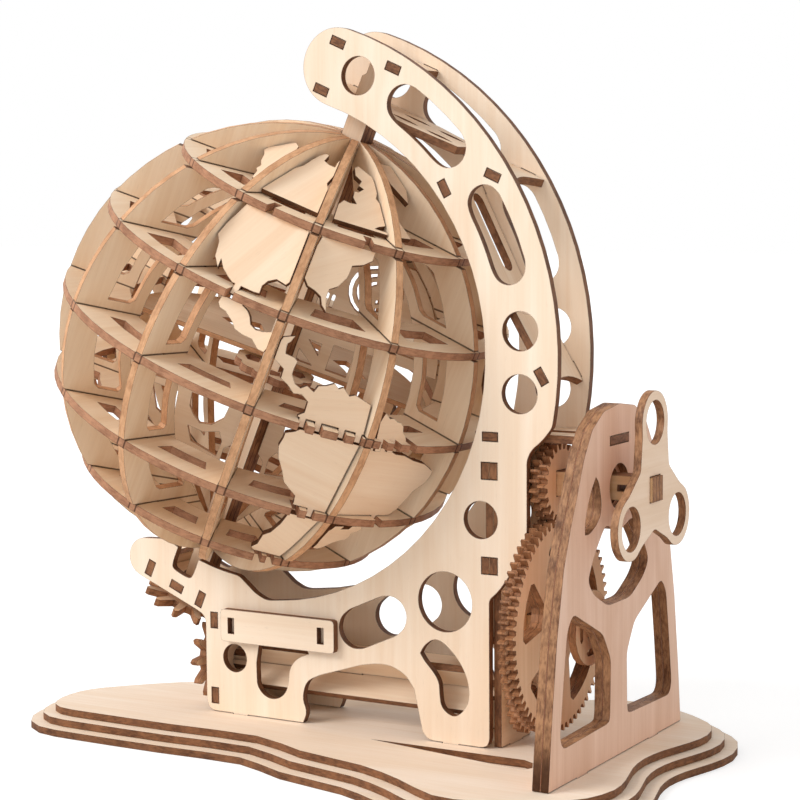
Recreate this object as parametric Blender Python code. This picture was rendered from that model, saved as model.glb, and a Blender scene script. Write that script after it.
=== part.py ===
"""Wooden mechanical globe: plywood globe on a tilted post, turned by a hand crank through gears."""

import math

import bpy
from mathutils import Matrix, Vector

# Driving dimensions, in millimetres and degrees.
# Sheet of plywood and the play left between neighbouring pieces.
PLY = 3.0
GAP = 0.3
BASE_PLY = 2.8

# The base's top face, and the globe's centre along the base and above it.
BASE_TOP = 9.0
GLOBE_X = -34.5
DRIVE_AXIS = -127.0
CROWN_TIP = 17.4
GLOBE_RISE = CROWN_TIP + 1.6 - DRIVE_AXIS
GLOBE_Z = BASE_TOP + GLOBE_RISE
FLOOR = -GLOBE_RISE
FOOT = FLOOR + GAP
TAB_END = FLOOR - BASE_PLY + 0.1

# The globe.
TILT = 23.5
GLOBE_R = 89.0
RING_SHARES = (0.719, 0.391, 0.0, -0.391, -0.719)
RING_S = tuple(round(GLOBE_R * share, 1) for share in RING_SHARES)
RING_WIDTH = 25.0
RIBS = 12
FIRST_RIB = -152.9
RIB_TIP = 6.55
RIB_TIP_WIDTH = 10.0
RIB_WAIST = 26.5
RIB_OUTER_RIM = 11.8
RIB_INNER_RIM = 4.3
RIB_STEP = 6.0

# Land: thin plates set into the cells between rings and ribs, with tabs through the rings.
LAND_PLY = 2.0
LAND_INSET = 2.0
LAND_TAB = 2.4
TAB_NOTCH = 3.0
NOTCH_DEPTH = 5.3

# The two side plates.
SIDE_IN = 12.3
SIDE_MID = SIDE_IN + PLY / 2
BAND_OUT = 128.0
BAND_IN = 98.5
BAND_MID = (BAND_OUT + BAND_IN) / 2
BAND_WIDTH = BAND_OUT - BAND_IN
OUTER_ROW = BAND_OUT - 6.6
INNER_ROW = BAND_IN + 3.9
HEAD_ANGLE = 18.4
SIDE_EDGE = 115.4
CROSS_HALF = SIDE_IN - GAP
TAB_OUT = SIDE_IN + PLY
TAB = 6.0

# Axes of the gear train, heights from the globe's centre.
CRANK_AXIS = -46.3
WHEEL_AXIS = -99.5

# Gear train: teeth and the places of the plies along the base.
PINION_TEETH = 24
WHEEL_TEETH = 68
STAGE_TEETH = 24
PEGS = 12
TRAIN_X = (117.5, 120.8)
STAGE_X = 107.8
CROWN_X = -33.0
GLOBE_GEAR_S = -115.0
PEG_ROOT = 3.4
PEG_TIP = 2.4

# Panels across the base.
PANEL_X = (98.35, 101.65)
PANEL_MID = sum(PANEL_X) / 2
CRANK_PANEL_X = (140.5, 143.8)
HANDLE_X = 157.8
LEFT_PLATE_X = -24.0
TIE_Z = -29.0

# Shafts.
POST = 9.0
BAR = 6.0
BAR_BORE = BAR + 2 * GAP
POST_BORE = POST + 2 * GAP
BAR_HOLE = 4.7
POST_HOLE = 6.8
FIN_HALF = 11.7
JOURNAL_HALF = 4.0

SIN = math.sin(math.radians(TILT))
COS = math.cos(math.radians(TILT))
CENTRE = Vector((GLOBE_X, 0.0, GLOBE_Z))
AXIS = Vector((SIN, 0.0, COS))
EAST = Vector((COS, 0.0, -SIN))
EX = Vector((1.0, 0.0, 0.0))
EY = Vector((0.0, 1.0, 0.0))
EZ = Vector((0.0, 0.0, 1.0))


# Points of outlines.
def arc(cx, cy, r, start, end, steps):
    """Points of an arc, angles in degrees anticlockwise from the first direction."""
    points = []
    for i in range(steps + 1):
        a = math.radians(start + (end - start) * i / steps)
        points.append((cx + r * math.cos(a), cy + r * math.sin(a)))
    return points


def circle(cx, cy, r, steps=16):
    return arc(cx, cy, r, 0.0, 360.0, steps)[:-1]


def box(cx, cy, width, height, along=(1.0, 0.0)):
    """Rectangle with its width along the given direction."""
    size = math.hypot(*along)
    ux, uy = along[0] / size, along[1] / size
    points = []
    for a, b in ((-1, -1), (1, -1), (1, 1), (-1, 1)):
        p, q = a * width / 2, b * height / 2
        points.append((cx + p * ux - q * uy, cy + p * uy + q * ux))
    return points


def oblong(x0, y0, x1, y1, r, steps=5):
    """Slot with round ends between two centres."""
    turn = math.degrees(math.atan2(y1 - y0, x1 - x0))
    points = arc(x1, y1, r, turn - 90, turn + 90, steps)
    return points + arc(x0, y0, r, turn + 90, turn + 270, steps)


def rounded(corners, radius, steps=2):
    """The polygon with each corner rounded by about this radius."""
    points = []
    count = len(corners)
    for i, corner in enumerate(corners):
        here = Vector(corner)
        back = Vector(corners[i - 1]) - here
        on = Vector(corners[(i + 1) % count]) - here
        cut = min(radius, back.length * 0.48, on.length * 0.48)
        a = here + back.normalized() * cut
        b = here + on.normalized() * cut
        for k in range(steps + 1):
            t = k / steps
            p = a * (1 - t) ** 2 + here * 2 * t * (1 - t) + b * t * t
            points.append((p.x, p.y))
    return points


def smooth(corners, steps=2, closed=True):
    """Curve through the points."""
    points = []
    count = len(corners)
    spans = count if closed else count - 1
    for i in range(spans):
        if closed:
            four = [corners[(i + k) % count] for k in (-1, 0, 1, 2)]
        else:
            four = [corners[min(max(i + k, 0), count - 1)] for k in (-1, 0, 1, 2)]
        a, b, c, d = (Vector(p) for p in four)
        for k in range(steps):
            t = k / steps
            p = b * 2 + (c - a) * t + (a * 2 - b * 5 + c * 4 - d) * t * t
            p = (p + (b * 3 - a - c * 3 + d) * t**3) / 2
            points.append((p.x, p.y))
    if not closed:
        points.append(tuple(corners[-1]))
    return points


def mirrored(points):
    """The left half and its mirror image, as one outline."""
    return points + [(-x, y) for x, y in reversed(points) if abs(x) > 0.01]


def grown(points, distance):
    """The outline moved outwards, for points that run anticlockwise."""
    moved = []
    count = len(points)
    for i, p in enumerate(points):
        ahead = Vector(points[(i + 1) % count]) - Vector(points[i - 1])
        out = Vector((ahead.y, -ahead.x)).normalized() * distance
        moved.append((p[0] + out.x, p[1] + out.y))
    return moved


def on_band(r, angle):
    """Point of the side plate at this radius and angle from the vertical."""
    a = math.radians(angle)
    return (r * math.sin(a), r * math.cos(a))


def on_axis(s, out):
    """Point of the side plate's plane from its place along and away from the globe's axis."""
    return (s * SIN + out * COS, s * COS - out * SIN)


def band_slot(half, first, last, steps=5):
    """Slot with round ends that follows the band."""
    points = arc(*on_band(BAND_MID, first), half, 90 - first, 270 - first, steps)
    inner = arc(0, 0, BAND_MID - half, 90 - first, 90 - last, 3)[1:-1]
    end = arc(*on_band(BAND_MID, last), half, -90 - last, 90 - last, steps)
    outer = arc(0, 0, BAND_MID + half, 90 - last, 90 - first, 3)[1:-1]
    return points + inner + end + outer


def lobed(radius, tip, count, turn=90.0):
    """Handle outline: round lobes about the centre, with hollows between them."""
    points = []
    for i in range(count):
        lobe = turn + i * 360.0 / count
        a = math.radians(lobe)
        cx, cy = radius * math.cos(a), radius * math.sin(a)
        points += arc(cx, cy, tip, lobe - 112, lobe + 112, 6)
        points += arc(0, 0, 14.6, lobe + 180.0 / count, lobe + 180.0 / count, 1)[:1]
    return points


# Materials and pieces.
def wood(name, red, green, blue, rough):
    material = bpy.data.materials.new(name)
    material.use_nodes = True
    shader = material.node_tree.nodes["Principled BSDF"]
    shader.inputs["Base Color"].default_value = (red, green, blue, 1.0)
    shader.inputs["Roughness"].default_value = rough
    shader.inputs["Metallic"].default_value = 0.0
    return material


def plate(name, outline, holes, origin, along, up, thickness, material):
    """Flat piece: its outline and holes lie in the plane of along and up, about the origin."""
    curve = bpy.data.curves.new(name, "CURVE")
    curve.dimensions = "2D"
    curve.fill_mode = "BOTH"
    curve.extrude = thickness / 2000.0
    for points in [outline] + list(holes):
        spline = curve.splines.new("POLY")
        spline.points.add(len(points) - 1)
        for point, (x, y) in zip(spline.points, points):
            point.co = (x / 1000.0, y / 1000.0, 0.0, 1.0)
        spline.use_cyclic_u = True
    curve.materials.append(material)
    piece = bpy.data.objects.new(name, curve)
    normal = along.cross(up)
    piece.matrix_world = Matrix(
        (
            (along.x, up.x, normal.x, origin.x / 1000.0),
            (along.y, up.y, normal.y, origin.y / 1000.0),
            (along.z, up.z, normal.z, origin.z / 1000.0),
            (0.0, 0.0, 0.0, 1.0),
        )
    )
    globe_parts.objects.link(piece)
    return piece


def turning(name, centre, pieces):
    """Hangs the pieces on an empty that lies on the axis they turn about."""
    pivot = bpy.data.objects.new(name, None)
    pivot.empty_display_size = 0.01
    pivot.location = centre / 1000.0
    globe_parts.objects.link(pivot)
    for piece in pieces:
        piece.parent = pivot
        piece.matrix_parent_inverse = Matrix.Translation(-centre / 1000.0)


def across(name, x, z, outline, holes, material, thickness=PLY):
    """Plate square to the base's length, its points from the given height."""
    origin = CENTRE + EX * x + EZ * z
    return plate(name, outline, holes, origin, EY, EZ, thickness, material)


def lengthways(name, y, outline, holes, material, thickness=PLY):
    """Upright plate along the base's length."""
    return plate(name, outline, holes, CENTRE + EY * y, EX, EZ, thickness, material)


def square_to_axis(name, s, outline, holes, material):
    """Plate square to the globe's axis."""
    return plate(name, outline, holes, CENTRE + AXIS * s, EAST, EY, PLY, material)


def cross_piece(name, at, along, first, last, hollow, holes, material):
    """Spacer between the side plates, with a tab at each end and hollow edges."""
    size = math.hypot(*along)
    direction = EX * (along[0] / size) + EZ * (along[1] / size)
    half = TAB / 2
    flush, proud = CROSS_HALF, TAB_OUT
    outline = [(first, -flush), (-half, -flush), (-half, -proud), (half, -proud)]
    outline += [(half, -flush), (last, -flush)]
    if hollow:
        outline += smooth([(last, -flush), (last - hollow, 0.0), (last, flush)], 3, False)[1:-1]
    outline += [(last, flush), (half, flush), (half, proud), (-half, proud)]
    outline += [(-half, flush), (first, flush)]
    if hollow:
        outline += smooth([(first, flush), (first + hollow, 0.0), (first, -flush)], 3, False)[1:-1]
    origin = CENTRE + EX * at[0] + EZ * at[1]
    return plate(name, outline, holes, origin, direction, EY, PLY, material)


def spur(teeth, pitch, tip, root, turn):
    """Outline of a spur gear with a tooth at the given angle."""
    points = []
    step = 360.0 / teeth
    for i in range(teeth):
        a = turn + i * step
        for r, share in ((root, -0.3), (tip, -0.12), (tip, 0.12), (root, 0.3)):
            b = math.radians(a + share * step)
            points.append((r * math.cos(b), r * math.sin(b)))
    return points


def peg_wheel(root, tip, turn):
    """Outline of a wheel with peg teeth that have rounded tips."""
    points = []
    wide, slim = PEG_ROOT / 2, PEG_TIP / 2
    for i in range(PEGS):
        a = math.radians(turn + i * 360.0 / PEGS)
        c, s = math.cos(a), math.sin(a)
        profile = ((root, -wide), (tip - 1.2, -slim), (tip, 1.0 - slim))
        profile += ((tip, slim - 1.0), (tip - 1.2, slim), (root, wide))
        for x, y in profile:
            points.append((x * c - y * s, x * s + y * c))
    return points


for item in list(bpy.data.objects):
    bpy.data.objects.remove(item, do_unlink=True)

globe_parts = bpy.data.collections.new("mechanical_globe")
bpy.context.scene.collection.children.link(globe_parts)

birch = wood("birch_side_plates", 0.86, 0.72, 0.56, 0.55)
birch_base = wood("birch_base", 0.84, 0.68, 0.52, 0.6)
birch_panel = wood("birch_crank_panel", 0.80, 0.66, 0.53, 0.55)
birch_rib = wood("birch_ribs", 0.85, 0.70, 0.53, 0.55)
birch_ring = wood("birch_rings", 0.82, 0.65, 0.47, 0.6)
birch_land = wood("birch_land", 0.87, 0.74, 0.58, 0.5)
birch_gear = wood("birch_gears", 0.72, 0.52, 0.35, 0.6)
birch_shaft = wood("birch_shafts", 0.66, 0.46, 0.29, 0.65)
birch_cross = wood("birch_cross_pieces", 0.76, 0.58, 0.41, 0.6)


# Base: three layers, each wider than the one above.
base_edge = [(-94, -20), (-91.5, -32), (-83.5, -39.6), (-66, -41), (-27, -41), (12.7, -40.2)]
base_edge += [(38.7, -50.5), (69, -57), (90, -66.5), (110.6, -78.6), (127, -78), (141, -72)]
base_edge += [(151, -65), (159.1, -56.7), (163.0, -42.8), (161.3, -29.2), (157.2, -14)]
base_edge += [(155.6, 0), (157.2, 14), (161.3, 29.2), (163.0, 42.8), (159.1, 56.7), (151, 65)]
base_edge += [(141, 72), (127, 78), (110.6, 78.6), (90, 67), (69, 57), (38.7, 50), (12, 42)]
base_edge += [(-20, 36), (-47, 30), (-66, 20), (-84, 2), (-92, -9)]
base_outline = smooth(base_edge, 2)
foot_x = (-11.85, 83.4)
crank_foot_y = (-31.6, 31.6)
foot_hole = PLY + 2 * GAP
mortises = [box(x, y, 6.8 + 2 * GAP, foot_hole) for x in foot_x for y in (SIDE_MID, -SIDE_MID)]
mortises += [box(sum(CRANK_PANEL_X) / 2, y, 6.9, 8.6) for y in crank_foot_y]
mortises += [box(x, 0, foot_hole, 10.6) for x in (PANEL_X[1], LEFT_PLATE_X)]
tapered_slot = [(53, -23.5), (118, -22.6), (122.6, -25), (125.4, -31), (123.5, -34.6), (117, -34)]
for name, level, wider, holes in (
    ("base_bottom", 0, 10.0, []),
    ("base_middle", 1, 5.0, []),
    ("base_top", 2, 0.0, mortises + [tapered_slot]),
):
    height = FLOOR - BASE_TOP + level * (BASE_PLY + GAP) + BASE_PLY / 2
    origin = CENTRE + EZ * height
    plate(name, grown(base_outline, wider), holes, origin, EX, EY, BASE_PLY, birch_base)


# Side plates: the tall band, two feet and the arm that carries the foot of the globe's axis.
side = [on_band(BAND_OUT, HEAD_ANGLE + 82.6 * i / 20) for i in range(21)]
side_foot = SIDE_EDGE - 15.6
side += [(SIDE_EDGE + 6.2, -29.5), (SIDE_EDGE + 1.8, -33.0), (SIDE_EDGE, -37.0)]
side += [(SIDE_EDGE, -63.5), (SIDE_EDGE - 3.0, -72.5), (SIDE_EDGE - 7.7, -80.8)]
side += [(SIDE_EDGE - 11.8, -86.3), (side_foot, -89.7), (side_foot, FOOT + 3.0)]
side += [(side_foot - 0.9, FOOT + 0.8), (side_foot - 3.0, FOOT)]
side += [(foot_x[1] + 3.4, FOOT), (foot_x[1] + 3.4, TAB_END)]
side += [(foot_x[1] - 3.4, TAB_END), (foot_x[1] - 3.4, FOOT), (73.9, FOOT)]
side += [(71.3, FOOT + 2.8), (69.8, -136.2), (67.7, -126.8), (64.2, -121.8), (58.1, -118.9)]
side += [(51.9, -118.6), (44.3, -120.0), (35.3, -122.9), (25.7, -125.9), (19.2, -129.0)]
side += [(17.3, -136.0), (19.5, FOOT + 4.4), (17.6, FOOT)]
side += [(foot_x[0] + 3.4, FOOT), (foot_x[0] + 3.4, TAB_END)]
side += [(foot_x[0] - 3.4, TAB_END), (foot_x[0] - 3.4, FOOT), (-24.6, FOOT)]
side += [(-27.0, FOOT + 1.1), (-28.0, FOOT + 3.7), (-28.0, -109.6), (-29.2, -107.2)]
side += [(-31.8, -105.7)]
side += [on_axis(s, out) for out, s in arc(-18.4, -102.0, 8.0, 270, 110, 8)]
side += [on_axis(-90.2, -12.0), on_axis(-90.6, -5.5), on_axis(-98.4, -5.5), on_axis(-100.0, -3.9)]
side += [on_axis(-100.0, 3.9), on_axis(-98.4, 5.5), on_axis(-90.6, 5.5)]
side += [on_band(BAND_IN - 7.7, 203.5 - 4.0 * i) for i in range(2, 5)]
side += [(-4.2, -96.3), (1.0, -98.8)]
side += [on_band(BAND_IN, 176.0 - (176.0 - HEAD_ANGLE) * i / 30) for i in range(31)]
head = on_band(BAND_MID, HEAD_ANGLE)
side += arc(*head, BAND_WIDTH / 2, 270 - HEAD_ANGLE, 90 - HEAD_ANGLE, 12)[1:-1]

tab_hole = TAB + 2 * GAP
slot_hole = PLY + 2 * GAP
side_holes = [circle(*on_band(BAND_MID, TILT), BAND_WIDTH / 4)]
side_holes += [band_slot(BAND_WIDTH * 0.26, 35.0, 47.5), band_slot(BAND_WIDTH * 0.24, 60.2, 72.8)]
side_holes += [circle(*on_band(BAND_MID, angle), BAND_WIDTH / 4) for angle in (84.9, 96.5)]
side_holes += [circle(SIDE_EDGE - 19.0, -60.1, 7.2), circle(81.2, -92.1, 11.6, 20)]
side_holes.append(oblong(42.2, -106.2, 56.9, -99.7, 8.0))
side_holes.append(
    smooth(
        [(70.4, -112.6), (75.2, -107.2), (80.3, -107.6), (87.1, -114), (90.9, -121.9)]
        + [(90.8, -129.9), (85.3, -135.5), (79.3, -132), (78.5, -123.3), (75.1, -118.3)],
        2,
    )
)
side_holes.append(circle(-14.2, -123.4, 5.75))
side_holes.append(
    arc(3.4, -130.5, 7.6, 200, 350, 5)
    + [(11.6, -124.5), (15.5, -120.2), (20.6, -118.2), (19.6, -116.4), (-2.6, -116.4), (-4.0, -124)]
)
inner_spacer = (on_band(INNER_ROW, 52.9), (0.45, -0.89))
upper_spacer = (on_band(OUTER_ROW, 56.9), (0.914, -0.406))
lower_spacer = (on_band(OUTER_ROW, 92.9), (0.51, -0.86))
side_mortises = [
    (on_axis(OUTER_ROW, -13.0), (COS, -SIN), tab_hole, slot_hole),
    (on_axis(OUTER_ROW, 13.0), (COS, -SIN), tab_hole, slot_hole),
    (on_axis(INNER_ROW, -13.0), (COS, -SIN), tab_hole, slot_hole),
    (*inner_spacer, tab_hole, slot_hole),
    (*upper_spacer, tab_hole, slot_hole),
    (*lower_spacer, tab_hole, slot_hole),
    ((PANEL_MID + 0.4, TIE_Z), (1.0, 0.0), tab_hole, slot_hole),
    (on_axis(-105.0, -14.5), (SIN, COS), tab_hole, slot_hole),
    (on_axis(-105.0, 12.2), (SIN, COS), tab_hole, slot_hole),
    (on_axis(-105.8, 0.0), (COS, -SIN), tab_hole, slot_hole),
    ((LEFT_PLATE_X, -109.0), (0.0, 1.0), tab_hole, slot_hole),
    ((LEFT_PLATE_X, -139.5), (0.0, 1.0), tab_hole, slot_hole),
    ((PANEL_MID, -41.7), (0.0, 1.0), tab_hole, 2 * PLY + 3 * GAP),
    ((PANEL_MID, -77.0), (0.0, 1.0), tab_hole, 2 * PLY + 3 * GAP),
]
side_holes += [box(*at, width, height, along) for at, along, width, height in side_mortises]
lengthways("side_plate_front", -SIDE_MID, side, side_holes, birch)
lengthways("side_plate_rear", SIDE_MID, side, side_holes, birch)
name_outline = rounded(box(7.75, -109.75, 52.7, 12.9), 1.5)
name_slots = [box(x, -109.75, 3.0, 6.4) for x in (-13.7, 28.0)]
lengthways("nameplate", -SIDE_MID - PLY - GAP, name_outline, name_slots, birch)


# Cross pieces between the side plates.
lens_a = smooth([(14, -5.5), (20, -6.5), (26, -5.5), (20, -3.4)], 2)
lens_b = smooth([(14, 5.5), (20, 3.4), (26, 5.5), (20, 6.5)], 2)
flush, proud = CROSS_HALF, TAB_OUT
head_low = [(-18, -flush), (-16, -flush), (-16, -proud), (-10, -proud), (-10, -flush), (32, -flush)]
head_low += [(x, -y) for x, y in reversed(head_low)]
low_holes = [circle(0, 0, POST_HOLE), lens_a, lens_b]
square_to_axis("head_bearing_lower", INNER_ROW, head_low, low_holes, birch_cross)
head_high = [(-17, -flush), (-16, -flush), (-16, -proud), (-10, -proud), (-10, -flush)]
head_high += [(0, 4 - flush), (10, -flush), (10, -proud), (16, -proud), (16, -flush), (17, -flush)]
head_high += [(x, -y) for x, y in reversed(head_high)]
square_to_axis("head_bearing_upper", OUTER_ROW, head_high, [circle(0, 0, 5.9)], birch_cross)
cross_piece("band_spacer_inner", *inner_spacer, -8.5, 8.5, 3.0, [], birch_cross)
cross_piece("band_spacer_upper", *upper_spacer, -9.0, 7.5, 3.0, [], birch_cross)
cross_piece("band_spacer_lower", *lower_spacer, -14.0, 5.0, 3.0, [], birch_cross)
post_hole = [circle(0, 0, POST_HOLE)]
for name, out in (("arm_plate_outer", -14.5), ("arm_plate_inner", 12.2)):
    cross_piece(name, on_axis(-105.0, out), (SIN, COS), -4.6, 4.6, 0, [], birch_cross)
cross_piece("arm_bearing", on_axis(-105.8, 0), (COS, -SIN), -12.7, 10.4, 0, post_hole, birch_cross)

tie = [(-8.0, -flush), (-3, -flush), (-3, -proud), (3, -proud), (3, -flush), (36, -flush)]
tie += [(36, -8), (45.0, -8)]
tie += [(x, -y) for x, y in reversed(tie)]
tie_at = CENTRE + EX * (PANEL_MID + 0.4) + EZ * TIE_Z
plate("tie_plate", tie, [oblong(10, 0, 28, 0, 3.0)], tie_at, EX, EY, PLY, birch_cross)


def uprights(tabs, top, bottom, foot):
    """Left half of an upright cross panel, from its foot to its top, with side tabs."""
    points = [(-foot, TAB_END), (-foot, FOOT), (-flush, FOOT)] if foot else [(-flush, bottom)]
    for z in sorted(tabs):
        points += [(-flush, z - 3), (-proud, z - 3), (-proud, z + 3), (-flush, z + 3)]
    return points + [(-flush, top - 3), (3 - flush, top)]


axle_holes = [circle(0, CRANK_AXIS, POST_HOLE), circle(0, WHEEL_AXIS, BAR_HOLE)]
drive_hole = [circle(0, DRIVE_AXIS, BAR_HOLE)]
panel_tabs = (-77.0, -41.7)
short_panel = [(4 - flush, -108.0), (-flush, -104.0)] + uprights(panel_tabs, -34.0, -103.0, 0)
tall_panel = uprights(panel_tabs, -34.0, FOOT, 5.0)
across("inner_panel_short", PANEL_X[0], 0, mirrored(short_panel), axle_holes, birch_cross)
across("inner_panel_tall", PANEL_X[1], 0, mirrored(tall_panel), axle_holes + drive_hole, birch_cross)
left_plate = uprights((-139.5, -109.0), -103.5, FOOT, 5.0)
across("left_bearing_plate", LEFT_PLATE_X, 0, mirrored(left_plate), drive_hole, birch_cross)


# Crank panel: two plies with windows.
crank_edge = [(-55.7, -122.0), (-51.7, -94.1), (-46.3, -69.9), (-40.5, -55.5), (-35.0, -44.3)]
crank_edge += [(-30.1, -33.4), (-23.2, -23.5), (-13.5, -17.8), (0.0, -16.0)]
crank_feet = [(-27.3, FOOT), (-27.3, TAB_END), (-35.9, TAB_END), (-35.9, FOOT), (-58.5, FOOT)]
crank_outline = mirrored(crank_feet + crank_edge)
low_window = [(-7.7, -132), (-7.0, -108.8), (-13.9, -98.3), (-26, -92.6), (-39, -86.6)]
low_window += [(-43.6, -92), (-46.6, -110), (-49.3, -129), (-47, -133)]
low_window = rounded(low_window, 2.5)
high_window = [(-10, -88.6), (-22, -82.6), (-27, -77), (-21, -68), (-12, -58.6), (-6, -61)]
high_window = rounded(mirrored(high_window + [(0, -62.5)]), 3.0)
teardrop = [(-20.2, -40.6), (-16.2, -47), (-15.9, -54.4), (-22, -59), (-29.2, -60.1), (-27.5, -51)]
teardrop = smooth(teardrop)
windows = [low_window, [(-x, y) for x, y in low_window], high_window]
windows += [teardrop, [(-x, y) for x, y in teardrop], box(0, TIE_Z, 16.6, slot_hole)]
inner_holes = windows + [circle(0, CRANK_AXIS, POST_HOLE), circle(0, WHEEL_AXIS, BAR_HOLE)]
outer_holes = windows + [circle(0, CRANK_AXIS, 8.5, 20)]
across("crank_panel_inner", CRANK_PANEL_X[0], 0, crank_outline, inner_holes, birch_panel)
across("crank_panel_outer", CRANK_PANEL_X[1], 0, crank_outline, outer_holes, birch_panel)


# Crank: handle, shaft and the two staggered plies of its pinion.
square_bore = [box(0, 0, BAR_BORE, BAR_BORE)]
post_bore = [box(0, 0, POST_BORE, POST_BORE)]
finger_holes = [circle(*p, 8.2) for p in (on_band(24, 0), on_band(24, 120), on_band(24, 240))]
handle = lobed(24.0, 12.0, 3)
crank = [across("crank_handle", HANDLE_X, CRANK_AXIS, handle, finger_holes + post_bore, birch_panel)]
half = POST / 2
shaft = [(97.0, -half), (160.4, -half), (160.4, half), (97.0, half)]
shaft_slots = [box(x, 0, 8.0, 2.4) for x in (110.0, 129.0, 150.5)]
crank_origin = CENTRE + EZ * CRANK_AXIS
crank.append(plate("crank_shaft", shaft, shaft_slots, crank_origin, EX, EZ, POST, birch_shaft))
module = (CRANK_AXIS - WHEEL_AXIS) * 2 / (PINION_TEETH + WHEEL_TEETH)
pinion_r = module * PINION_TEETH / 2
wheel_r = module * WHEEL_TEETH / 2
step = 360.0 / PINION_TEETH
for name, x, turn in (("pinion_inner", TRAIN_X[0], step / 2 - 90), ("pinion_outer", TRAIN_X[1], -90)):
    outline = spur(PINION_TEETH, pinion_r, pinion_r + 0.9 * module, pinion_r - 1.3 * module, turn)
    crank.append(across(name, x, CRANK_AXIS, outline, post_bore, birch_gear))
turning("crank_pivot", crank_origin, crank)


# Wheel: two staggered plies, shaft, hub disc and the driver of the second stage.
leaves = []
for i in range(5):
    a = 90 + 72 * i
    leaf = arc(0, 0, 32.0, a - 22, a + 22, 4) + arc(0, 0, 14.0, a + 12, a - 12, 2)
    leaves.append(rounded(leaf, 2.0, 1))
step = 360.0 / WHEEL_TEETH
wheel = []
for name, x, turn in (("wheel_inner", TRAIN_X[0], 90), ("wheel_outer", TRAIN_X[1], 90 + step / 2)):
    outline = spur(WHEEL_TEETH, wheel_r, wheel_r + 0.9 * module, wheel_r - 1.3 * module, turn)
    wheel.append(across(name, x, WHEEL_AXIS, outline, leaves + square_bore, birch_gear))
half = BAR / 2
bar = [(96.5, -half), (141.6, -half), (141.6, half), (96.5, half)]
wheel_origin = CENTRE + EZ * WHEEL_AXIS
wheel.append(plate("wheel_shaft", bar, [], wheel_origin, EX, EZ, BAR, birch_shaft))
hub_slots = [oblong(*on_band(9.5, a - 20), *on_band(9.5, a + 20), 1.2, 2) for a in (0, 90, 180, 270)]
hub_disc = circle(0, 0, 14.0, 24)
wheel.append(across("wheel_hub", 133.0, WHEEL_AXIS, hub_disc, hub_slots + square_bore, birch_gear))
stage_r = (WHEEL_AXIS - DRIVE_AXIS) / 2
stage_module = 2 * stage_r / STAGE_TEETH
step = 360.0 / STAGE_TEETH
stage_tip = stage_r + 0.9 * stage_module
stage_root = stage_r - 1.3 * stage_module
driver = spur(STAGE_TEETH, stage_r, stage_tip, stage_root, -90)
wheel.append(across("stage_driver", STAGE_X, WHEEL_AXIS, driver, square_bore, birch_gear))
turning("wheel_pivot", wheel_origin, wheel)


# Drive shaft: two crossed strips, the second-stage follower and the crown wheel.
reach = JOURNAL_HALF + GAP
arm = PLY / 2 + GAP
plus = [(arm, -reach), (arm, -arm), (reach, -arm), (reach, arm), (arm, arm), (arm, reach)]
plus += [(-x, -y) for x, y in plus]
half_turn = math.sqrt(0.5)
cross_bore = [((x - y) * half_turn, (x + y) * half_turn) for x, y in plus]
follower = spur(STAGE_TEETH, stage_r, stage_tip, stage_root, 90 + step / 2)
crown = peg_wheel(11.0, CROWN_TIP, 90.0)
drive = [across("stage_follower", STAGE_X, DRIVE_AXIS, follower, [cross_bore], birch_gear)]
drive.append(across("crown_wheel", CROWN_X, DRIVE_AXIS, crown, [cross_bore], birch_gear))
ends = (-38.0, 112.0)
edge = [(ends[0], JOURNAL_HALF), (-17.0, JOURNAL_HALF), (-14.0, FIN_HALF - 3), (-11.0, FIN_HALF)]
edge += [(87.0, FIN_HALF), (90.0, FIN_HALF - 3), (93.0, JOURNAL_HALF), (ends[1], JOURNAL_HALF)]
below = [(x, -y) for x, y in reversed(edge)]
middle = sum(ends) / 2
slot_left = [(ends[0], -arm), (middle + GAP, -arm), (middle + GAP, arm), (ends[0], arm)]
slot_right = [(ends[1], arm), (middle - GAP, arm), (middle - GAP, -arm), (ends[1], -arm)]
drive_origin = CENTRE + EZ * DRIVE_AXIS
rising = (EY + EZ).normalized()
falling = (EZ - EY).normalized()
left_strip, right_strip = edge + below + slot_left, edge + slot_right + below
drive.append(plate("drive_strip_left", left_strip, [], drive_origin, EX, rising, PLY, birch_shaft))
drive.append(plate("drive_strip_right", right_strip, [], drive_origin, EX, falling, PLY, birch_shaft))
turning("drive_pivot", drive_origin, drive)


# Globe: post and peg wheel.
half = POST / 2
narrow = BAR / 2
post = [(-half, -119.0), (half, -119.0), (half, 112.0), (narrow, 113.5), (narrow, 124.5)]
post += [(-narrow, 124.5), (-narrow, 113.5), (-half, 112.0)]
post_slots = [box(0, s, 1.8, 11.0) for s in (-80, -50, -20, 20, 50, 80)]
post_slots += [box(0, s, 2.2, 2.6) for s in (-65, -35, 35, 65)]
globe = [plate("axis_post", post, post_slots, CENTRE, EAST, AXIS, POST, birch_shaft)]
globe_pegs = peg_wheel(11.0, 19.5, 15.0)
globe.append(square_to_axis("globe_wheel", GLOBE_GEAR_S, globe_pegs, post_bore, birch_gear))


# Rings, halved into the ribs from inside, with windows and notches for the land's tabs.
notch = PLY / 2 + GAP
cell = 360.0 / RIBS
rib_half = math.radians(cell / 2)


def ring_radius(s):
    return math.sqrt(GLOBE_R**2 - s**2)


def swung(points, angle):
    """The points turned about the centre, in degrees."""
    c, s = math.cos(math.radians(angle)), math.sin(math.radians(angle))
    return [(x * c - y * s, x * s + y * c) for x, y in points]


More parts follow.
